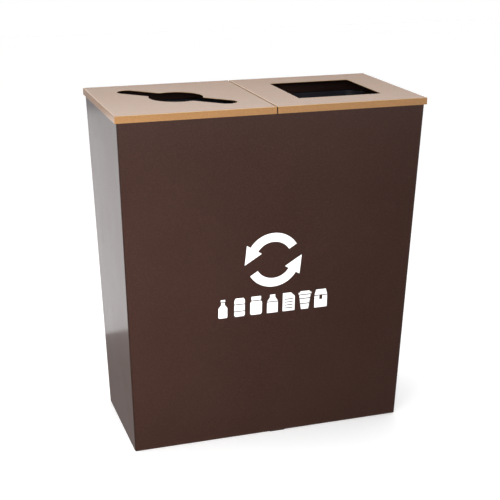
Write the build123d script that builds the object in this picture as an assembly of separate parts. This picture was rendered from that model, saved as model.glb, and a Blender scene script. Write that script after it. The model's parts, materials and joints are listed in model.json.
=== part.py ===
"""Two-stream recycling bin station: a tapered steel shell with two hinged lids over two rigid liners.

Millimetres, +Z up, +Y to the rear, origin on the floor under the middle of the station.
Each function makes one kind of piece, and the list at the bottom writes one STEP file per node.
"""

from build123d import *
from math import atan2, cos, degrees, hypot, radians, sin
import os

# ---------------------------------------------------------------- overall sizes
STATION_WIDTH = 684.0  # across both closed lids
STATION_DEPTH = 343.4  # front skirt to rear skirt
STATION_HEIGHT = 762.0  # floor to the top of the lids
SIDE_TAPER = 23.8  # each side runs in this far between the hinge line and the shell's lower edge
FRONT_TAPER = 30.2  # the front and the rear run in this far over the same height

# ---------------------------------------------------------------- shell
SHELL_SHEET = 1.0
SHELL_BEND = 2.0  # outside radius of each upright fold
HEM_BEND = 1.4  # outside radius of the folds along the rim
SIDE_HEM_BEND = 0.9
RETURN_DEPTH = 16.0  # front and rear panels fold back this far behind the side panels
RIM_HEM = 10.0  # inward fold along the top of the front and side panels
FOLD_GAP = 0.3  # between folds that meet at a corner
BASE_SHEET = 1.2
BASE_FLANGE = 22.0  # height of the base pan's upturned flange
WELD_GAP = 0.05  # between spot-welded sheets
BRACE_WIDTH = 14.0
BRACE_HEIGHT = 18.0
BRACE_SHEET = 1.2
BRACE_DROP = 1.0  # brace top below the rear panel's top edge

# ---------------------------------------------------------------- foot pads
PAD_WIDTH = 38.0
PAD_DEPTH = 22.0
PAD_HEIGHT = 2.5
PAD_CORNER = 4.0
PAD_SIDE_INSET = 12.0  # corner pads, from the shell's lower edge
PAD_FRONT_INSET = 10.0
MIDDLE_PAD_INSET = 1.6
MIDDLE_PAD_OFFSET = 20.0  # the middle pads sit to the right of the centre line

# ---------------------------------------------------------------- hinges
PIN_RADIUS = 1.5
PIN_CLEARANCE = 0.05
LEAF_SHEET = 0.9
KNUCKLES = 13  # odd, so that both ends belong to the shell's leaf
KNUCKLE_GAP = 0.35
BODY_LEAF_HEIGHT = 26.0
LID_LEAF_GAP = 2.6  # upper edge of the lid's leaf to the lid's underside
SKIRT_ABOVE_HINGE = 0.8  # lower edge of the lid's skirt over the hinge axis
HINGE_INSET = 5.0  # clear length at each end of a hinge
RIVETS = 5  # along each leaf
RIVET_RADIUS = 1.6
RIVET_CLEARANCE = 0.05
RIVET_HEAD_RADIUS = 3.1
RIVET_HEAD_HEIGHT = 0.9
RIVET_TAIL_RADIUS = 2.3
RIVET_TAIL_HEIGHT = 1.0
BODY_RIVET_DROP = 14.0  # from the hinge axis down to the rivets in the shell

# ---------------------------------------------------------------- lids
LID_SHEET = 1.2
LID_BEND = 2.0
LID_SKIRT = 15.0
SEAM_SKIRT = 13.0  # skirts that face each other at the seam
SEAM_GAP = 3.0
CORNER_SLIT = 0.4  # between the side skirts and the ends of the front and rear ones
EDGE_EASE = 0.4  # rounding of each cut-out's upper edge
ROUND_OPENING = 118.0  # diameter
SLOT_LENGTH = 292.0
SLOT_WIDTH = 44.0
SLOT_ANGLE = -45.0
SQUARE_OPENING = 192.0
SQUARE_CORNER = 3.0
BUMPER_RADIUS = 4.0
BUMPER_HEIGHT = 2.5
BUMPER_INSET = 34.0  # from each end of a lid

# ---------------------------------------------------------------- liners
LINER_WALL = 2.5
LINER_FLOOR = 3.0
LINER_DROP = 30.3  # liner's rim below the shell's rim
LINER_SIDE_GAP = 14.5  # rim to the side panel's inner face, at rim height
LINER_BRACE_GAP = 3.0
LINER_FRONT_GAP = 3.5  # rim to the shell's hem
LINER_LIP = 11.0
LINER_LIP_DROP = 14.0
LINER_DRAFT_X = 7.0  # each side, top to bottom
LINER_DRAFT_Y = 13.0
LINER_CORNER = 30.0
LINER_EDGE = 5.0
PLATEAU_INSET = 14.0
PLATEAU_HEIGHT = 4.0
REST_GAP = 0.05

# ---------------------------------------------------------------- decals
DECAL_THICKNESS = 0.25
LOOP_HEIGHT = 423.0  # centre of the arrow loop above the floor
LOOP_RADIUS = 62.0
LOOP_BAND = 20.0
LOOP_SWEEP = 116.0  # degrees of each arrow's shaft
ARROW_HALF_WIDTH = 20.0
ARROW_LENGTH = 40.0
ICON_HEIGHT = 320.5  # centre of the row of icons above the floor
ICON_PITCH = 38.0
ICON_TALL = 43.0
ICON_LINE = 2.2  # width of the gaps that divide an icon

# ---------------------------------------------------------------- levels and places worked out from them
BARREL_RADIUS = PIN_RADIUS + PIN_CLEARANCE + LEAF_SHEET
AXIS_OUTSIDE_SHELL = BARREL_RADIUS - LEAF_SHEET - SHELL_SHEET - WELD_GAP
SKIRT_BOTTOM = STATION_HEIGHT - LID_SKIRT
HINGE_Z = SKIRT_BOTTOM - SKIRT_ABOVE_HINGE
HINGE_Y = STATION_DEPTH / 2 - LID_SHEET - BARREL_RADIUS
LID_UNDERSIDE = STATION_HEIGHT - LID_SHEET
LID_LEAF_HEIGHT = LID_UNDERSIDE - LID_LEAF_GAP - HINGE_Z
LID_RIVET_RISE = (BARREL_RADIUS + LID_LEAF_HEIGHT) / 2
RIM_Z = LID_UNDERSIDE - BUMPER_HEIGHT
LINER_RIM_HEIGHT = RIM_Z - LINER_DROP
SHELL_LOW = PAD_HEIGHT
TILT = degrees(atan2(FRONT_TAPER, HINGE_Z - SHELL_LOW))
TOP_HALF_DEPTH = HINGE_Y - AXIS_OUTSIDE_SHELL / cos(radians(TILT))
TOP_HALF_WIDTH = STATION_WIDTH / 2 - (STATION_DEPTH / 2 - TOP_HALF_DEPTH)
REAR_TOP = HINGE_Z - BARREL_RADIUS - KNUCKLE_GAP
BRACE_TOP = REAR_TOP - BRACE_DROP
LID_WIDTH = (STATION_WIDTH - SEAM_GAP) / 2
LID_CENTRE = (STATION_WIDTH + SEAM_GAP) / 4
BEYOND = 20.0  # how far a cutting block reaches past what it cuts


def half_width(z):
    """Half the shell's outer width at a height."""
    return TOP_HALF_WIDTH - SIDE_TAPER * (HINGE_Z - z) / (HINGE_Z - SHELL_LOW)


def half_depth(z):
    """Half the shell's outer depth at a height."""
    return TOP_HALF_DEPTH - FRONT_TAPER * (HINGE_Z - z) / (HINGE_Z - SHELL_LOW)


def sloped_block(low_half, high_half, low, high, corner=0.0):
    """Block with flat sloping sides between two centred rectangles, its upright edges rounded."""
    rings = []
    for (x, y), z in ((low_half, low), (high_half, high)):
        rings.append([(-x, -y, z), (x, -y, z), (x, y, z), (-x, y, z)])
    below, above = rings
    outlines = [below[::-1], above]
    for i in range(4):
        j = (i + 1) % 4
        outlines.append([below[i], below[j], above[j], above[i]])
    faces = [Face(Wire.make_polygon([Vector(*p) for p in outline])) for outline in outlines]
    block = Solid(Shell(faces))
    if corner > 0:
        upright = [e for e in block.edges() if abs(e.start_point().Z - e.end_point().Z) > 1e-6]
        block = block.fillet(corner, upright)
    return Part([block])


def shell_block(inset_x, inset_y, low, high, corner=0.0):
    """Block that keeps an even inset from the shell's outer faces."""
    low_half = (half_width(low) - inset_x, half_depth(low) - inset_y)
    high_half = (half_width(high) - inset_x, half_depth(high) - inset_y)
    return sloped_block(low_half, high_half, low, high, corner)


def slab(x_low, x_high, y_low, y_high, z_low, z_high):
    """Plain box between six limits."""
    middle = ((x_low + x_high) / 2, (y_low + y_high) / 2, (z_low + z_high) / 2)
    return Pos(*middle) * Box(x_high - x_low, y_high - y_low, z_high - z_low)


def pick(shape, key):
    """The solid of a shape that scores highest."""
    return Part([max(shape.solids(), key=key)])


# ---------------------------------------------------------------- shell


def folded_channel(top, side, hem):
    """Front (side -1) or rear (side 1) face with a return folded back along each upright edge."""
    outer = shell_block(SHELL_SHEET + WELD_GAP, 0, SHELL_LOW, top, SHELL_BEND)
    inner_top = top - SHELL_SHEET if hem > 0 else top + BEYOND
    inner = shell_block(2 * SHELL_SHEET + WELD_GAP, SHELL_SHEET, SHELL_LOW - BEYOND, inner_top,
                        SHELL_BEND - SHELL_SHEET)
    channel = outer - inner
    if hem > 0:
        edge = half_depth(top) - hem
        channel -= slab(-STATION_WIDTH, STATION_WIDTH, -edge, edge, inner_top - FOLD_GAP, top + BEYOND)
    channel -= shell_block(-BEYOND, RETURN_DEPTH, SHELL_LOW - BEYOND, inner_top - FOLD_GAP / 2)
    return pick(channel, lambda s: side * s.center().Y)


def front_panel():
    """Front face, its two returns and the hem along its top."""
    panel = folded_channel(RIM_Z, -1, RIM_HEM)
    front = -half_depth(RIM_Z)
    edges = panel.edges().filter_by(Axis.X)
    fold = [e for e in edges if hypot(e.center().Y - front, e.center().Z - RIM_Z) < WELD_GAP]
    return fillet(fold, HEM_BEND)


def rear_panel():
    """Rear face with its returns, cut short below the hinges and drilled for their rivets."""
    panel = folded_channel(REAR_TOP, 1, 0)
    for side in (-1, 1):
        for place in body_rivet_places(side):
            panel -= place * rivet_hole()
    return panel


def side_panel(side):
    """Flat side with a hem folded in along its top, between the front hem and the rear panel."""
    plates = shell_block(0, SHELL_BEND, SHELL_LOW, RIM_Z)
    plates -= shell_block(SHELL_SHEET, -BEYOND, 0, STATION_HEIGHT)
    panel = pick(plates, lambda s: side * s.center().X)
    outer = half_width(RIM_Z)
    hem_front = -half_depth(RIM_Z) + RIM_HEM + FOLD_GAP
    hem_rear = half_depth(RIM_Z) - SHELL_BEND - RIM_HEM
    hem = slab(outer - RIM_HEM, outer - SHELL_SHEET / 2, hem_front, hem_rear, RIM_Z - SHELL_SHEET, RIM_Z)
    panel += hem if side > 0 else mirror(hem, Plane.YZ)
    edges = panel.edges().filter_by(Axis.Y)
    fold = [e for e in edges if hypot(abs(e.center().X) - outer, e.center().Z - RIM_Z) < WELD_GAP]
    return fillet(fold, SIDE_HEM_BEND)


def base_pan():
    """Floor of the shell: a plate with upturned flanges, notched round the returns."""
    inset = SHELL_SHEET + WELD_GAP
    top = SHELL_LOW + BASE_FLANGE
    outer = shell_block(inset, inset, SHELL_LOW, top)
    hollow = shell_block(inset + BASE_SHEET, inset + BASE_SHEET, SHELL_LOW + BASE_SHEET, top + BEYOND)
    pan = outer - hollow
    low_x = half_width(SHELL_LOW) - 2 * SHELL_SHEET - SHELL_BEND
    low_y = half_depth(SHELL_LOW) - RETURN_DEPTH - FOLD_GAP
    for x_side in (-1, 1):
        for y_side in (-1, 1):
            corner = slab(low_x, STATION_WIDTH, low_y, STATION_DEPTH, 0, top + BEYOND)
            corner = corner if x_side > 0 else mirror(corner, Plane.YZ)
            pan -= corner if y_side > 0 else mirror(corner, Plane.XZ)
    return pick(pan, lambda s: s.volume)


def centre_brace():
    """Channel that ties the front panel to the rear one between the liners, with a tab at each end."""
    reach = SHELL_SHEET + WELD_GAP
    half = BRACE_WIDTH / 2
    low = BRACE_TOP - BRACE_HEIGHT
    column = slab(-half, half, -STATION_DEPTH, STATION_DEPTH, low, BRACE_TOP)
    solid = shell_block(0, reach, low - BEYOND, BRACE_TOP + BEYOND) & column
    tunnel = slab(-half + BRACE_SHEET, half - BRACE_SHEET, -STATION_DEPTH, STATION_DEPTH,
                  low - BEYOND, BRACE_TOP - BRACE_SHEET)
    tunnel = shell_block(0, reach + BRACE_SHEET, low - BEYOND, BRACE_TOP + BEYOND) & tunnel
    return solid - tunnel


def foot_pad(x, y):
    """Rubber pad stuck to the underside of the base pan."""
    pad = extrude(RectangleRounded(PAD_WIDTH, PAD_DEPTH, PAD_CORNER), PAD_HEIGHT)
    pad = chamfer(pad.faces().sort_by(Axis.Z)[0].edges(), PAD_HEIGHT * 0.2)
    return Pos(x, y, 0) * pad


def foot_pads():
    """The six pads by name: four at the corners and two in the middle."""
    x = half_width(SHELL_LOW) - PAD_SIDE_INSET - PAD_WIDTH / 2
    y = half_depth(SHELL_LOW) - PAD_FRONT_INSET - PAD_DEPTH / 2
    middle = half_depth(SHELL_LOW) - MIDDLE_PAD_INSET - PAD_DEPTH / 2
    return {
        "foot_pad_front_left": foot_pad(-x, -y),
        "foot_pad_front_middle": foot_pad(MIDDLE_PAD_OFFSET, -middle),
        "foot_pad_front_right": foot_pad(x, -y),
        "foot_pad_rear_left": foot_pad(-x, y),
        "foot_pad_rear_middle": foot_pad(MIDDLE_PAD_OFFSET, middle),
        "foot_pad_rear_right": foot_pad(x, y),
    }


# ---------------------------------------------------------------- hinges

HINGE_INNER_X = BRACE_WIDTH / 2 + HINGE_INSET
HINGE_OUTER_X = half_width(REAR_TOP) - 2 * SHELL_SHEET - HINGE_INSET
HINGE_LENGTH = HINGE_OUTER_X - HINGE_INNER_X
HINGE_CENTRE = (HINGE_OUTER_X + HINGE_INNER_X) / 2
KNUCKLE_PITCH = HINGE_LENGTH / KNUCKLES
RIVET_PITCH = HINGE_LENGTH / RIVETS


def hinge_place(side):
    """The middle of a hinge axis."""
    return Pos(side * HINGE_CENTRE, HINGE_Y, HINGE_Z)


def knuckle_middles(first):
    """Places along the axis of every second knuckle."""
    return [(i - (KNUCKLES - 1) / 2) * KNUCKLE_PITCH for i in range(first, KNUCKLES, 2)]


def rivet_offsets():
    """Places of a leaf's rivets along the axis."""
    return [(i - (RIVETS - 1) / 2) * RIVET_PITCH for i in range(RIVETS)]


def body_rivet_places(side):
    """Seats of the rivets on the rear panel's outer face, their heads along +Z of each place."""
    tilt = Rot(-TILT, 0, 0)
    seats = [Pos(x, -AXIS_OUTSIDE_SHELL, -BODY_RIVET_DROP) * Rot(-90, 0, 0) for x in rivet_offsets()]
    return [hinge_place(side) * tilt * seat for seat in seats]


def lid_rivet_places(side):
    """Seats of the rivets on the outer face of a lid's rear skirt."""
    face = BARREL_RADIUS + LID_SHEET
    return [hinge_place(side) * Pos(x, face, LID_RIVET_RISE) * Rot(-90, 0, 0) for x in rivet_offsets()]


def rivet_hole():
    """Cutter for a rivet's hole, centred on the seat."""
    return Cylinder(RIVET_RADIUS + RIVET_CLEARANCE, 4 * (LID_SHEET + LEAF_SHEET))


def rivet(grip):
    """Blind rivet: rounded head above the seat, shank through the grip and a formed tail below it."""
    low = (Align.CENTER, Align.CENTER, Align.MIN)
    head = Cylinder(RIVET_HEAD_RADIUS, RIVET_HEAD_HEIGHT, align=low)
    head = fillet(head.edges().sort_by(Axis.Z)[-1], RIVET_HEAD_HEIGHT * 0.8)
    shank = Pos(0, 0, -grip) * Cylinder(RIVET_RADIUS, grip, align=low)
    tail = Pos(0, 0, -grip - RIVET_TAIL_HEIGHT) * Cylinder(RIVET_TAIL_RADIUS, RIVET_TAIL_HEIGHT, align=low)
    tail = chamfer(tail.edges().sort_by(Axis.Z)[0], RIVET_TAIL_HEIGHT * 0.4)
    return head + shank + tail


def hinge_leaf(height, direction, first):
    """Leaf and its knuckles, axis at the origin. Direction 1 rises to the lid, -1 hangs on the shell."""
    near = BARREL_RADIUS
    far = BARREL_RADIUS - LEAF_SHEET
    half = HINGE_LENGTH / 2
    plate = slab(-half, half, far, near, 0, height)
    clear = Cylinder(BARREL_RADIUS + KNUCKLE_GAP, KNUCKLE_PITCH + KNUCKLE_GAP)
    for x in knuckle_middles(1 - first):
        plate -= Pos(x, 0, 0) * Rot(0, 90, 0) * clear
    bore = PIN_RADIUS + PIN_CLEARANCE
    width = KNUCKLE_PITCH - KNUCKLE_GAP
    for x in knuckle_middles(first):
        ring = Cylinder(BARREL_RADIUS, width) - Cylinder(bore, width)
        plate += Pos(x, 0, 0) * Rot(0, 90, 0) * ring
    return plate if direction > 0 else Rot(180, 0, 0) * plate


def body_leaf(side):
    """Leaf riveted inside the top of the rear panel."""
    leaf = hinge_place(side) * Rot(-TILT, 0, 0) * hinge_leaf(BODY_LEAF_HEIGHT, -1, 0)
    for place in body_rivet_places(side):
        leaf -= place * rivet_hole()
    return leaf


def lid_leaf(side):
    """Leaf riveted inside a lid's rear skirt."""
    leaf = hinge_place(side) * hinge_leaf(LID_LEAF_HEIGHT, 1, 1)
    for place in lid_rivet_places(side):
        leaf -= place * rivet_hole()
    return leaf


def hinge_pin(side):
    """Pin through all the knuckles."""
    pin = Rot(0, 90, 0) * Cylinder(PIN_RADIUS, HINGE_LENGTH)
    return hinge_place(side) * chamfer(pin.edges(), PIN_RADIUS * 0.2)


def body_rivets(side):
    """Rivets through the rear panel and the leaf behind it."""
    grip = SHELL_SHEET + LEAF_SHEET + WELD_GAP
    return [place * rivet(grip) for place in body_rivet_places(side)]


def lid_rivets(side):
    """Rivets through a lid's rear skirt and its leaf."""
    return [place * rivet(LID_SHEET + LEAF_SHEET) for place in lid_rivet_places(side)]


# ---------------------------------------------------------------- lids


def mixed_cutout():
    """Round opening for bottles and cans crossed by a slanting slot for paper."""
    slot = Rot(0, 0, SLOT_ANGLE) * SlotOverall(SLOT_LENGTH, SLOT_WIDTH)
    return slot + Circle(ROUND_OPENING / 2)


def square_cutout():
    """Square opening for everything else."""
    return RectangleRounded(SQUARE_OPENING, SQUARE_OPENING, SQUARE_CORNER)


def lid_block(width, depth, top, bend):
    """Block under a lid's top: the front and rear folds run its full width, the side folds between them."""
    size = (width, depth, 2 * LID_SKIRT)
    middle = Pos(0, 0, top - LID_SKIRT)
    along = middle * Box(*size)
    along = fillet(along.faces().sort_by(Axis.Z)[-1].edges().filter_by(Axis.X), bend)
    across = middle * Box(*size)
    across = fillet(across.faces().sort_by(Axis.Z)[-1].edges().filter_by(Axis.Y), bend)
    between = middle * Box(width, depth - 2 * LID_BEND, 3 * LID_SKIRT)
    return (along - between) + (across & between)


def lid(side, cutout):
    """Folded lid: a flat top with skirts all round, slit at the corners, and one cut-out in the middle."""
    outside = lid_block(LID_WIDTH, STATION_DEPTH, STATION_HEIGHT, LID_BEND)
    outside -= slab(-LID_WIDTH, LID_WIDTH, -STATION_DEPTH, STATION_DEPTH, 0, SKIRT_BOTTOM)
    inside_size = (LID_WIDTH - 2 * LID_SHEET, STATION_DEPTH - 2 * LID_SHEET, 2 * LID_SKIRT)
    inside = Pos(0, 0, LID_UNDERSIDE - LID_SKIRT) * Box(*inside_size)
    inside = fillet(inside.faces().sort_by(Axis.Z)[-1].edges(), LID_BEND - LID_SHEET)
    sheet = outside - inside
    slit_y = STATION_DEPTH / 2 - LID_BEND - CORNER_SLIT / 2
    for x in (-LID_WIDTH / 2, LID_WIDTH / 2):
        for y in (-slit_y, slit_y):
            slit = Box(2 * LID_SHEET, CORNER_SLIT, LID_SKIRT)
            sheet -= Pos(x, y, SKIRT_BOTTOM + LID_SKIRT / 2 - LID_BEND) * slit
    seam = -side * LID_WIDTH / 2
    reach = LID_SHEET + FOLD_GAP
    low = SKIRT_BOTTOM + LID_SKIRT - SEAM_SKIRT
    skirt_end = STATION_DEPTH / 2 - LID_BEND
    sheet -= slab(seam - reach, seam + reach, -skirt_end, skirt_end, 0, low)
    hem_clear = half_depth(RIM_Z) - RIM_HEM - SEAM_GAP
    sheet -= slab(seam - reach, seam + reach, -skirt_end, -hem_clear, 0, STATION_HEIGHT - LID_BEND)
    sheet -= Pos(0, 0, LID_UNDERSIDE - BEYOND) * extrude(cutout, BEYOND + 2 * LID_SHEET)
    top = sheet.faces().filter_by(Axis.Z).sort_by(Axis.Z)[-1]
    sheet = fillet(top.inner_wires()[0].edges(), EDGE_EASE)
    sheet = Pos(side * LID_CENTRE, 0, 0) * sheet
    for place in lid_rivet_places(side):
        sheet -= place * rivet_hole()
    return sheet


def lid_bumper(x):
    """Soft stop on the front hem, under a lid."""
    bumper = extrude(Circle(BUMPER_RADIUS), BUMPER_HEIGHT)
    bumper = fillet(bumper.faces().sort_by(Axis.Z)[-1].edges(), BUMPER_HEIGHT * 0.4)
    return Pos(x, -half_depth(RIM_Z) + RIM_HEM / 2, RIM_Z) * bumper


def lid_bumpers():
    """Two bumpers for each lid, by name."""
    near = SEAM_GAP / 2 + BUMPER_INSET
    far = STATION_WIDTH / 2 - BUMPER_INSET
    return {
        "bumper_left_outer": lid_bumper(-far),
        "bumper_left_inner": lid_bumper(-near),
        "bumper_right_inner": lid_bumper(near),
        "bumper_right_outer": lid_bumper(far),
    }


# ---------------------------------------------------------------- liners

LINER_LOW = SHELL_LOW + BASE_SHEET + REST_GAP
RIM_OUTER_X = half_width(LINER_RIM_HEIGHT) - SHELL_SHEET - LINER_SIDE_GAP
RIM_INNER_X = BRACE_WIDTH / 2 + LINER_BRACE_GAP
LINER_CENTRE = (RIM_OUTER_X + RIM_INNER_X) / 2
RIM_HALF_X = (RIM_OUTER_X - RIM_INNER_X) / 2
RIM_HALF_Y = half_depth(RIM_Z) - RIM_HEM - LINER_FRONT_GAP


def liner_block(inset, low, high, corner):
    """Block that keeps an even inset from the outside of a liner's drafted walls."""
    halves = []
    for z in (low, high):
        down = (LINER_RIM_HEIGHT - z) / (LINER_RIM_HEIGHT - LINER_LOW)
        x = RIM_HALF_X - LINER_LIP - LINER_DRAFT_X * down - inset
        y = RIM_HALF_Y - LINER_LIP - LINER_DRAFT_Y * down - inset
        halves.append((x, y))
    return sloped_block(halves[0], halves[1], low, high, corner)


def rim_block(inset, low, high):
    """Upright rounded block at the rim."""
    corner = LINER_CORNER + LINER_LIP - inset
    outline = RectangleRounded(2 * (RIM_HALF_X - inset), 2 * (RIM_HALF_Y - inset), corner)
    return Pos(0, 0, low) * extrude(outline, high - low)


def liner(side):
    """Drafted bin with a raised floor and a turned-down lip all round that serves as its grip."""
    floor_top = LINER_LOW + LINER_FLOOR
    lip_low = LINER_RIM_HEIGHT - LINER_LIP_DROP
    body = liner_block(0, LINER_LOW, LINER_RIM_HEIGHT, LINER_CORNER)
    body = fillet(body.faces().sort_by(Axis.Z)[0].edges(), LINER_EDGE)
    lip = rim_block(0, lip_low, LINER_RIM_HEIGHT)
    lip = fillet(lip.faces().sort_by(Axis.Z)[-1].edges(), LINER_WALL)
    under = rim_block(LINER_WALL, lip_low - BEYOND, LINER_RIM_HEIGHT - LINER_WALL)
    hollow = liner_block(LINER_WALL, floor_top, LINER_RIM_HEIGHT + BEYOND, LINER_CORNER - LINER_WALL)
    hollow = fillet(hollow.faces().sort_by(Axis.Z)[0].edges(), LINER_EDGE - LINER_WALL)
    recess_corner = LINER_CORNER - PLATEAU_INSET
    recess = liner_block(PLATEAU_INSET, LINER_LOW - BEYOND, LINER_LOW + PLATEAU_HEIGHT, recess_corner)
    plateau = liner_block(PLATEAU_INSET - LINER_FLOOR, LINER_LOW + LINER_FLOOR / 2,
                          floor_top + PLATEAU_HEIGHT, recess_corner + LINER_FLOOR)
    shape = body + (lip - under) - hollow + plateau - recess
    return Pos(side * LINER_CENTRE, 0, 0) * shape


# ---------------------------------------------------------------- decals


def front_face(height):
    """Work plane on the front panel's outer face at a height, facing out."""
    origin = (0, -half_depth(height) - WELD_GAP, height)
    return Plane(origin=origin, x_dir=(1, 0, 0), z_dir=(0, -cos(radians(TILT)), -sin(radians(TILT))))


def loop_arrow(turn):
    """One arrow of the loop: part of a ring with a triangular head."""
    middle = LOOP_RADIUS - LOOP_BAND / 2
    ring = Circle(LOOP_RADIUS) - Circle(LOOP_RADIUS - LOOP_BAND)
    far = 3 * LOOP_RADIUS
    steps = [LOOP_SWEEP * i / 4 for i in range(5)]
    wedge = Polygon((0, 0), *[(far * cos(radians(a)), far * sin(radians(a))) for a in steps], align=None)
    end = radians(LOOP_SWEEP)
    outward = (cos(end), sin(end))
    onward = (-sin(end), cos(end))
    head = []
    for across, along in ((ARROW_HALF_WIDTH, 0), (0, ARROW_LENGTH), (-ARROW_HALF_WIDTH, 0)):
        head.append(tuple((middle + across) * outward[i] + along * onward[i] for i in (0, 1)))
    return Rot(0, 0, turn) * ((ring & wedge) + Polygon(*head, align=None))


def bar(width, height, x=0.0, y=0.0, corner=0.0):
    """Rectangle with its middle at x and its foot at y, rounded where a corner is given."""
    shape = RectangleRounded(width, height, corner) if corner > 0 else Rectangle(width, height)
    return Pos(x, y + height / 2) * shape


def taper_bar(low_width, high_width, height, y=0.0):
    """Symmetrical four-sided bar that stands at y."""
    low, high = low_width / 2, high_width / 2
    return Polygon((-low, y), (low, y), (high, y + height), (-high, y + height), align=None)


def bottle_icon():
    """Bottle with a cap."""
    return [bar(20, 25, corner=2.5), taper_bar(20, 8, 8, 23), bar(8, 6, y=30), bar(10, 4.8, y=38.2)]


def can_icon():
    """Drinks can with a band round it."""
    bands = [bar(24, 8, y=3), bar(24, 14, y=11 + ICON_LINE), bar(24, 8, y=25 + 2 * ICON_LINE)]
    return [taper_bar(19, 24, 3), *bands, taper_bar(24, 18, 5.6, 33 + 2 * ICON_LINE)]


def jar_icon():
    """Jar with a screw lid."""
    return [bar(27, 32, corner=5), bar(22, 8.8, y=34.2, corner=1.2)]


def carton_icon():
    """Gable-top carton."""
    return [bar(25, 25), taper_bar(25, 12, 9.4, 25 + ICON_LINE), bar(12, 6.4, y=36.6)]


def paper_icon():
    """Sheet with a folded corner and four printed rules."""
    page = Polygon((-14, 0), (14, 0), (14, 34), (5, 43), (-14, 43), align=None)
    for i in range(4):
        page -= bar(19, ICON_LINE, y=6 + 7 * i)
    return [page]


def cup_icon():
    """Paper cup with a lid and a sleeve."""
    upper = 22 + 2 * ICON_LINE
    brim = upper + 7 + ICON_LINE
    sides = [taper_bar(17, 20.5, 12), taper_bar(21.2, 24, 10, 12 + ICON_LINE)]
    sides.append(taper_bar(24.6, 26.5, 7, upper))
    return [*sides, bar(30, 4, y=brim), bar(22, 3.4, y=brim + 4)]


def box_icon():
    """Taped cardboard box."""
    lower = bar(30, 28) - bar(7, 9, y=19)
    return [lower, taper_bar(30, 23, 12.8, 28 + ICON_LINE)]


def decal(sketches, height, x=0.0):
    """Cuts vinyl pieces from sketches and lays them on the front panel."""
    face = front_face(height)
    pieces = []
    for sketch in sketches:
        for flat in sketch.faces():
            pieces.append(extrude(face * Pos(x, 0, 0) * flat, DECAL_THICKNESS))
    return pieces


def joined(sketches):
    """One sketch from pieces that may touch."""
    whole = sketches[0]
    for sketch in sketches[1:]:
        whole += sketch
    return whole


def arrow_loop_decal():
    """Two arrows that chase each other round a circle."""
    start = 90 - LOOP_SWEEP / 2
    return decal([loop_arrow(start), loop_arrow(start + 180)], LOOP_HEIGHT)


def icon_decals():
    """Row of plain pictures of what goes in."""
    makers = [bottle_icon, can_icon, jar_icon, carton_icon, paper_icon, cup_icon, box_icon]
    pieces = []
    for i, maker in enumerate(makers):
        x = (i - (len(makers) - 1) / 2) * ICON_PITCH
        pieces += decal([Pos(0, -ICON_TALL / 2) * joined(maker())], ICON_HEIGHT, x)
    return pieces


# ---------------------------------------------------------------- assembly


def nodes():
    """Every node by name."""
    made = {
        "front_panel": front_panel(),
        "rear_panel": rear_panel(),
        "left_side_panel": side_panel(-1),
        "right_side_panel": side_panel(1),
        "base_pan": base_pan(),
        "centre_brace": centre_brace(),
        "left_lid": lid(-1, mixed_cutout()),
        "right_lid": lid(1, square_cutout()),
        "left_liner": liner(-1),
        "right_liner": liner(1),
        "arrow_loop_decal": arrow_loop_decal(),
        "icon_decals": icon_decals(),
    }
    for name, side in (("left", -1), ("right", 1)):
        made[name + "_hinge_body_leaf"] = body_leaf(side)
        made[name + "_hinge_lid_leaf"] = lid_leaf(side)
        made[name + "_hinge_pin"] = hinge_pin(side)
        made[name + "_hinge_body_rivets"] = body_rivets(side)
        made[name + "_hinge_lid_rivets"] = lid_rivets(side)
    made.update(foot_pads())
    made.update(lid_bumpers())
    return made


os.makedirs("parts", exist_ok=True)
for node, shape in nodes().items():
    solids = shape if isinstance(shape, list) else [shape]
    parts = [solid for piece in solids for solid in piece.solids()]
    export_step(parts[0] if len(parts) == 1 else Compound(children=parts), f"parts/{node}.step")
    print(node, len(parts), round(sum(p.volume for p in parts)))
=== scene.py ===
"""Looks of a two-stream recycling bin station: painted sheet steel, moulded liners, hinges and studio."""

import json
import math

import bpy
from mathutils import Matrix, Vector


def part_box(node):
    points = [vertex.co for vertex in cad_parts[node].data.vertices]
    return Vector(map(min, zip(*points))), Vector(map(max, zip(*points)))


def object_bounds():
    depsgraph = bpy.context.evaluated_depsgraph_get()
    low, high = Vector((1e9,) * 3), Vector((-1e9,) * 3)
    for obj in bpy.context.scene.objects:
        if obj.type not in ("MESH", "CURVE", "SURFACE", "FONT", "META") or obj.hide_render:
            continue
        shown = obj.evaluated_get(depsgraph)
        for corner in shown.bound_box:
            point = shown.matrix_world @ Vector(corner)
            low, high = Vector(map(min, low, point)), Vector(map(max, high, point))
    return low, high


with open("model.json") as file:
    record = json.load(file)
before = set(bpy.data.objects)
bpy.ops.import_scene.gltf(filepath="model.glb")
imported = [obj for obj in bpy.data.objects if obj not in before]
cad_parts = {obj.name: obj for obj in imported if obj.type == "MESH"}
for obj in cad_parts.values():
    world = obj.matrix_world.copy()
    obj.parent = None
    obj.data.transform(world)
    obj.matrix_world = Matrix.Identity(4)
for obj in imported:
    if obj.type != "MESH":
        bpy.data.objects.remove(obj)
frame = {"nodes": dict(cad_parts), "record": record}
NODES = frame["nodes"]
CAD_LOW, CAD_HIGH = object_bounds()
WIDTH = CAD_HIGH.x - CAD_LOW.x

# ---------------------------------------------------------------- camera

CAMERA_AZIMUTH = math.radians(-18.298)
CAMERA_ELEVATION = math.radians(18.056)
CAMERA_ROLL = math.radians(0.125)
CAMERA_DISTANCE = 3.8001 * WIDTH
CAMERA_LENS = 81.43
SENSOR_WIDTH = 36.0
TARGET_SIDE = -0.0038 * WIDTH
TARGET_RISE = 0.5781 * WIDTH  # above the shell's lower edge


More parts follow.
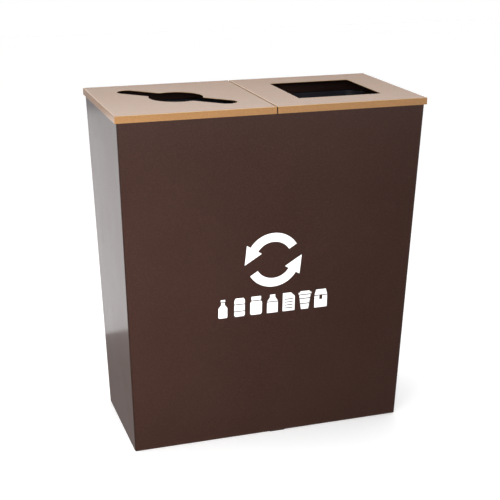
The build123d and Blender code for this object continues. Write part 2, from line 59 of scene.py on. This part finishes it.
def add_camera():
    """Camera at the viewing angle of the reference."""
    data = bpy.data.cameras.new("camera")
    data.lens = CAMERA_LENS
    data.sensor_width = SENSOR_WIDTH
    camera = bpy.data.objects.new("camera", data)
    bpy.context.scene.collection.objects.link(camera)
    flat = math.cos(CAMERA_ELEVATION)
    back = Vector((
        math.sin(CAMERA_AZIMUTH) * flat,
        -math.cos(CAMERA_AZIMUTH) * flat,
        math.sin(CAMERA_ELEVATION),
    ))
    shell_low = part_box("front_panel")[0].z
    target = Vector((TARGET_SIDE, 0.0, shell_low + TARGET_RISE))
    camera.location = target + back * CAMERA_DISTANCE
    turn = (-back).to_track_quat("-Z", "Y").to_matrix() @ Matrix.Rotation(CAMERA_ROLL, 3, "Z")
    camera.rotation_mode = "QUATERNION"
    camera.rotation_quaternion = turn.to_quaternion()
    bpy.context.scene.camera = camera


# ---------------------------------------------------------------- studio

FLOOR_SIZE = 14.0
FLOOR_COLOUR = (0.86, 0.86, 0.86)
FLOOR_GLOW = 0.36  # stands in for the light that a wide studio sweep returns
FLOOR_ROUGHNESS = 0.9
FLOOR_SPECULAR = 0.1
FRONT_FILL = 0.3  # brightness of the surroundings in front of the station, as a share of those behind
FILL_FRONT = -0.7  # Y of a direction where the front's brightness holds
FILL_REAR = 0.2  # Y of a direction where full brightness is reached
WHITE = (1.0, 1.0, 1.0)
BLACK = (0.0, 0.0, 0.0)
WORLD_BAND = [  # height of the direction, from straight down at 0 to straight up at 1, and colour
    (0.0, (1.0, 1.0, 1.0)),
    (0.49, (1.0, 1.0, 1.0)),
    (0.52, (0.06, 0.06, 0.065)),
    (0.589, (0.04, 0.04, 0.045)),
    (0.607, (1.85, 1.85, 1.88)),
    (0.7, (0.9, 0.9, 0.9)),
    (1.0, (1.0, 1.0, 1.0)),
]
SOFTBOXES = [  # name, place, target, side in metres, power in watts
    ("key", (-0.66, -0.95, 0.27), (-0.2, -0.1, 0.27), 0.5, 12),
    ("front", (-0.75, -2.3, 1.35), (0.1, 0.1, 0.6), 0.5, 12),
    ("top", (0.1, 0.4, 2.6), (0, 0, 0.4), 1.6, 14),
]
UNREFLECTED = "key"  # its mirror image would burn out the left side in the rear views
CARD_LIFT = 0.0005
CARDS = [  # name, low and high corner on the floor, glow
    ("side_card", (-1.3, -0.141), (-0.312, 0.555), (0.34, 0.30, 0.285)),
    ("front_card", (-4.0, -3.0), (3.0, -0.141), (0.04, 0.03, 0.027)),
    ("far_card", (-4.0, 3.6), (-0.5, 7.0), (0.3, 0.3, 0.33)),
]


def node_material(name):
    """New material, its node tree and its shader."""
    material = bpy.data.materials.new(name)
    material.use_nodes = True
    tree = material.node_tree
    return material, tree, tree.nodes["Principled BSDF"]


def add_floor():
    """Plain pale floor."""
    bpy.ops.mesh.primitive_plane_add(size=FLOOR_SIZE, location=(0, 0, CAD_LOW.z))
    floor = bpy.context.object
    floor.name = "floor"
    material, _, shader = node_material("floor_pale")
    shader.inputs["Base Color"].default_value = (*FLOOR_COLOUR, 1)
    shader.inputs["Roughness"].default_value = FLOOR_ROUGHNESS
    shader.inputs["Specular IOR Level"].default_value = FLOOR_SPECULAR
    shader.inputs["Emission Color"].default_value = (*WHITE, 1)
    shader.inputs["Emission Strength"].default_value = FLOOR_GLOW
    floor.data.materials.append(material)


def add_softbox(name, place, target, side, power):
    """Square white area light aimed at a point, which the camera doesn't see."""
    data = bpy.data.lights.new(name, "AREA")
    data.shape = "RECTANGLE"
    data.size = data.size_y = side
    data.energy = power
    light = bpy.data.objects.new(name, data)
    bpy.context.scene.collection.objects.link(light)
    light.location = place
    light.visible_camera = False
    light.visible_glossy = name != UNREFLECTED
    aim = Vector(target) - Vector(place)
    light.rotation_mode = "QUATERNION"
    light.rotation_quaternion = aim.to_track_quat("-Z", "Y")


def add_world():
    """Surroundings that light the station, with a dark band near the horizon; the camera sees plain white."""
    world = bpy.data.worlds.new("studio")
    world.use_nodes = True
    tree = world.node_tree
    split = tree.nodes.new("ShaderNodeSeparateXYZ")
    link(tree, tree.nodes.new("ShaderNodeTexCoord").outputs["Generated"], split.inputs[0])
    ramp = tree.nodes.new("ShaderNodeValToRGB")
    link(tree, remap(tree, split.outputs["Z"], -1.0, 1.0, 0.0, 1.0), ramp.inputs["Fac"])
    stops = ramp.color_ramp.elements
    stops[0].position, stops[0].color = WORLD_BAND[0][0], (*WORLD_BAND[0][1], 1)
    stops[1].position, stops[1].color = WORLD_BAND[-1][0], (*WORLD_BAND[-1][1], 1)
    for place, colour in WORLD_BAND[1:-1]:
        stops.new(place).color = (*colour, 1)
    fill = remap(tree, split.outputs["Y"], FILL_FRONT, FILL_REAR, FRONT_FILL, 1.0)
    around = mix_colour(tree, fill, BLACK, ramp.outputs["Color"])
    background = tree.nodes["Background"]
    seen = tree.nodes.new("ShaderNodeLightPath").outputs["Is Camera Ray"]
    link(tree, mix_colour(tree, seen, around, WHITE), background.inputs["Color"])
    background.inputs["Strength"].default_value = 1.0
    bpy.context.scene.world = world


def add_card(name, low, high, colour):
    """Glowing card flat on the floor that only shows in reflections."""
    mesh = bpy.data.meshes.new(name)
    outline = (low, (high[0], low[1]), high, (low[0], high[1]))
    mesh.from_pydata([(x, y, CAD_LOW.z + CARD_LIFT) for x, y in outline], [], [(0, 1, 2, 3)])
    card = bpy.data.objects.new(name, mesh)
    bpy.context.scene.collection.objects.link(card)
    material, _, shader = node_material(name)
    shader.inputs["Base Color"].default_value = (*BLACK, 1)
    shader.inputs["Specular IOR Level"].default_value = 0.0
    shader.inputs["Emission Color"].default_value = (*colour, 1)
    shader.inputs["Emission Strength"].default_value = 1.0
    mesh.materials.append(material)
    card.visible_camera = False
    card.visible_diffuse = False
    card.visible_transmission = False
    card.visible_shadow = False


def add_studio():
    """Floor, surroundings, softboxes and reflection cards."""
    bpy.context.scene.view_settings.view_transform = "Standard"
    add_floor()
    add_world()
    for softbox in SOFTBOXES:
        add_softbox(*softbox)
    for card in CARDS:
        add_card(*card)


# ---------------------------------------------------------------- material helpers


def link(tree, source, target):
    """Joins an output socket to an input socket."""
    tree.links.new(source, target)


def add_node(tree, kind, **values):
    """Adds a node and sets its input sockets by name."""
    node = tree.nodes.new(kind)
    for key, value in values.items():
        node.inputs[key.replace("_", " ")].default_value = value
    return node


def object_point(tree):
    """Coordinates in metres in the object's own frame."""
    return tree.nodes.new("ShaderNodeTexCoord").outputs["Object"]


def noise(tree, point, scale, detail=2.0, roughness=0.5, stretch=None):
    """Noise texture's factor, on stretched coordinates where asked."""
    if stretch:
        mapping = tree.nodes.new("ShaderNodeMapping")
        mapping.inputs["Scale"].default_value = stretch
        link(tree, point, mapping.inputs["Vector"])
        point = mapping.outputs["Vector"]
    node = add_node(tree, "ShaderNodeTexNoise", Scale=scale, Detail=detail, Roughness=roughness)
    link(tree, point, node.inputs["Vector"])
    return node.outputs["Fac"]


def remap(tree, value, low, high, out_low, out_high):
    """Maps a value from one range to another and clamps it."""
    node = tree.nodes.new("ShaderNodeMapRange")
    for i, number in enumerate((low, high, out_low, out_high), start=1):
        node.inputs[i].default_value = number
    link(tree, value, node.inputs["Value"])
    return node.outputs["Result"]


def mix_colour(tree, factor, first, second):
    """Mix of two colours, each a socket or a plain tuple."""
    node = tree.nodes.new("ShaderNodeMix")
    node.data_type = "RGBA"
    for source, socket in ((factor, node.inputs[0]), (first, node.inputs[6]), (second, node.inputs[7])):
        if hasattr(source, "links"):
            link(tree, source, socket)
        elif socket.type == "RGBA":
            socket.default_value = (*source, 1)
        else:
            socket.default_value = source
    return node.outputs[2]


def maths(tree, operation, *sources):
    """Maths node on sockets or plain numbers."""
    node = tree.nodes.new("ShaderNodeMath")
    node.operation = operation
    for source, socket in zip(sources, node.inputs):
        if hasattr(source, "links"):
            link(tree, source, socket)
        else:
            socket.default_value = source
    return node.outputs[0]


def bump(tree, shader, height, distance):
    """Feeds a height in units of the distance to the shader's normal, and returns that normal."""
    node = add_node(tree, "ShaderNodeBump", Distance=distance, Strength=1.0)
    link(tree, height, node.inputs["Height"])
    link(tree, node.outputs["Normal"], shader.inputs["Normal"])
    return node.outputs["Normal"]


# ---------------------------------------------------------------- materials

PAINT_ROUGHNESS = 0.45
COAT_ROUGHNESS = 0.15
CELL = 0.0032  # size of one dimple
CELL_SOFTNESS = 0.6
CELL_WOBBLE = 0.6  # frequency of the dimples' distortion, per cell
GRAIN_PER_CELL = 2.5
GRAIN_SHARE = 0.25  # of the fine grain in the relief
BROAD_SCALE = 5.0
BROAD_SHARE = 0.4  # of the broad patches in the tone
DIMPLE_SHARE = 0.45  # of the dimples in the tone
TONE_BASE = 0.1
RUB_SCALE = 22.0
RUB_ROUGHNESS = 0.12  # added where the paint is rubbed
FOLD_SCALE = 45.0


def painted_fold_light_mask(tree, point):
    """Mask of the painted fold light: 1 on the rounded folds and 0 on the flats, broken up a little along its
    length.
    """
    split = tree.nodes.new("ShaderNodeSeparateXYZ")
    link(tree, tree.nodes.new("ShaderNodeTexCoord").outputs["Normal"], split.inputs[0])
    sizes = [maths(tree, "ABSOLUTE", split.outputs[axis]) for axis in "XYZ"]
    largest = maths(tree, "MAXIMUM", maths(tree, "MAXIMUM", sizes[0], sizes[1]), sizes[2])
    rounded = remap(tree, maths(tree, "SUBTRACT", 1.0, largest), 0.02, 0.18, 0.0, 1.0)
    broken = remap(tree, noise(tree, point, FOLD_SCALE, 3.0), 0.35, 0.6, 0.6, 1.0)
    return maths(tree, "MULTIPLY", rounded, broken)


def dimples(tree, point):
    """0 in the middle of each rounded cell and 1 on the ridges between them."""
    wobble = add_node(tree, "ShaderNodeTexNoise", Scale=CELL_WOBBLE / CELL)
    link(tree, point, wobble.inputs["Vector"])
    shift = tree.nodes.new("ShaderNodeVectorMath")
    shift.operation = "MULTIPLY_ADD"
    link(tree, wobble.outputs["Color"], shift.inputs[0])
    shift.inputs[1].default_value = (CELL, CELL, CELL)
    link(tree, point, shift.inputs[2])
    cells = tree.nodes.new("ShaderNodeTexVoronoi")
    cells.feature = "SMOOTH_F1"
    cells.inputs["Scale"].default_value = 1 / CELL
    cells.inputs["Smoothness"].default_value = CELL_SOFTNESS
    link(tree, shift.outputs["Vector"], cells.inputs["Vector"])
    return remap(tree, cells.outputs["Distance"], 0.1, 0.75, 0.0, 1.0)


def hammertone(name, dark, light, fold_painted_light, metallic, coat, depth, wear):
    """Hammered enamel: flake paint with rounded dimples under a clear gloss, colour pooled between them."""
    material, tree, shader = node_material(name)
    point = object_point(tree)
    dimple = dimples(tree, point)
    fine = noise(tree, point, GRAIN_PER_CELL / CELL)
    broad = noise(tree, point, BROAD_SCALE, 3.0)
    pooled = maths(tree, "MULTIPLY_ADD", dimple, DIMPLE_SHARE, TONE_BASE)
    tone = maths(tree, "ADD", pooled, maths(tree, "MULTIPLY", broad, BROAD_SHARE))
    paint = mix_colour(tree, tone, dark, light)
    patches = remap(tree, noise(tree, point, RUB_SCALE, 6.0, 0.7), 0.56, 0.72, 0.0, 1.0)
    rubbed = maths(tree, "MULTIPLY", patches, wear)
    paint = mix_colour(tree, rubbed, paint, light)
    # Painted light on the folds: the fold colour stands in for what the rounded bends reflect, a painted
    # highlight on the lids and painted shade on the shell.
    link(tree, mix_colour(tree, painted_fold_light_mask(tree, point), paint, fold_painted_light), shader.inputs["Base Color"])
    shader.inputs["Metallic"].default_value = metallic
    uneven = remap(tree, broad, 0.3, 0.7, PAINT_ROUGHNESS - 0.03, PAINT_ROUGHNESS + 0.04)
    dull = maths(tree, "ADD", uneven, maths(tree, "MULTIPLY", rubbed, RUB_ROUGHNESS))
    link(tree, dull, shader.inputs["Roughness"])
    shader.inputs["Coat Weight"].default_value = coat
    shader.inputs["Coat Roughness"].default_value = COAT_ROUGHNESS
    height = maths(tree, "ADD", dimple, maths(tree, "MULTIPLY", fine, GRAIN_SHARE))
    link(tree, bump(tree, shader, height, depth), shader.inputs["Coat Normal"])
    return material


def shell_paint():
    """Dark brown hammered enamel, with painted shade on the folds where the bends reflect dark."""
    return hammertone(
        "shell_paint",
        dark=(0.042, 0.0175, 0.0125), light=(0.080, 0.036, 0.027), fold_painted_light=(0.012, 0.006, 0.005),
        metallic=0.5, coat=0.58, depth=0.00004, wear=0.35,
    )


def lid_paint():
    """Champagne hammered enamel, with a painted highlight on the folds."""
    return hammertone(
        "lid_paint",
        dark=(0.335, 0.155, 0.041), light=(0.435, 0.214, 0.066), fold_painted_light=(0.62, 0.37, 0.16),
        metallic=0.3, coat=1.0, depth=0.00002, wear=0.3,
    )


def liner_plastic():
    """Black moulded plastic with a fine spark-eroded grain."""
    material, tree, shader = node_material("liner_plastic")
    point = object_point(tree)
    grain = noise(tree, point, 900.0, 2.0)
    scuffs = noise(tree, point, 18.0, 4.0, stretch=(1.0, 1.0, 0.2))
    colour = mix_colour(tree, scuffs, (0.028, 0.027, 0.038), (0.045, 0.044, 0.058))
    link(tree, colour, shader.inputs["Base Color"])
    link(tree, remap(tree, scuffs, 0.3, 0.7, 0.38, 0.5), shader.inputs["Roughness"])
    bump(tree, shader, grain, 0.00008)
    return material


def hinge_steel():
    """Zinc-plated strip with fine rolling lines."""
    material, tree, shader = node_material("hinge_steel")
    point = object_point(tree)
    lines = noise(tree, point, 60.0, 6.0, stretch=(1.0, 30.0, 30.0))
    spangle = noise(tree, point, 140.0, 3.0)
    colour = mix_colour(tree, spangle, (0.42, 0.43, 0.43), (0.62, 0.61, 0.58))
    link(tree, colour, shader.inputs["Base Color"])
    shader.inputs["Metallic"].default_value = 1.0
    link(tree, remap(tree, lines, 0.3, 0.7, 0.28, 0.46), shader.inputs["Roughness"])
    bump(tree, shader, lines, 0.00003)
    return material


def pad_rubber():
    """Black rubber with a matt moulded skin."""
    material, tree, shader = node_material("pad_rubber")
    point = object_point(tree)
    skin = noise(tree, point, 700.0, 3.0)
    colour = mix_colour(tree, skin, (0.014, 0.014, 0.014), (0.03, 0.03, 0.029))
    link(tree, colour, shader.inputs["Base Color"])
    link(tree, remap(tree, skin, 0.3, 0.7, 0.7, 0.9), shader.inputs["Roughness"])
    bump(tree, shader, skin, 0.0001)
    return material


def decal_vinyl():
    """White self-adhesive vinyl that takes up a little of the dimples under it."""
    material, tree, shader = node_material("decal_vinyl")
    point = object_point(tree)
    soft = noise(tree, point, 220.0, 2.0)
    link(tree, mix_colour(tree, soft, (0.9, 0.9, 0.89), (0.95, 0.95, 0.945)), shader.inputs["Base Color"])
    link(tree, remap(tree, soft, 0.3, 0.7, 0.38, 0.46), shader.inputs["Roughness"])
    bump(tree, shader, soft, 0.00004)
    return material


def dress_nodes():
    """Gives each carried-over node the material of its slot."""
    makers = {
        "shell_paint": shell_paint,
        "lid_paint": lid_paint,
        "liner_plastic": liner_plastic,
        "hinge_steel": hinge_steel,
        "pad_rubber": pad_rubber,
        "decal_vinyl": decal_vinyl,
    }
    made = {slot: maker() for slot, maker in makers.items()}
    for entry in frame["record"]["subparts"]:
        node = NODES[entry["node"]]
        node.data.materials.clear()
        node.data.materials.append(made[entry["material_slot"]])


add_camera()
add_studio()
dress_nodes()
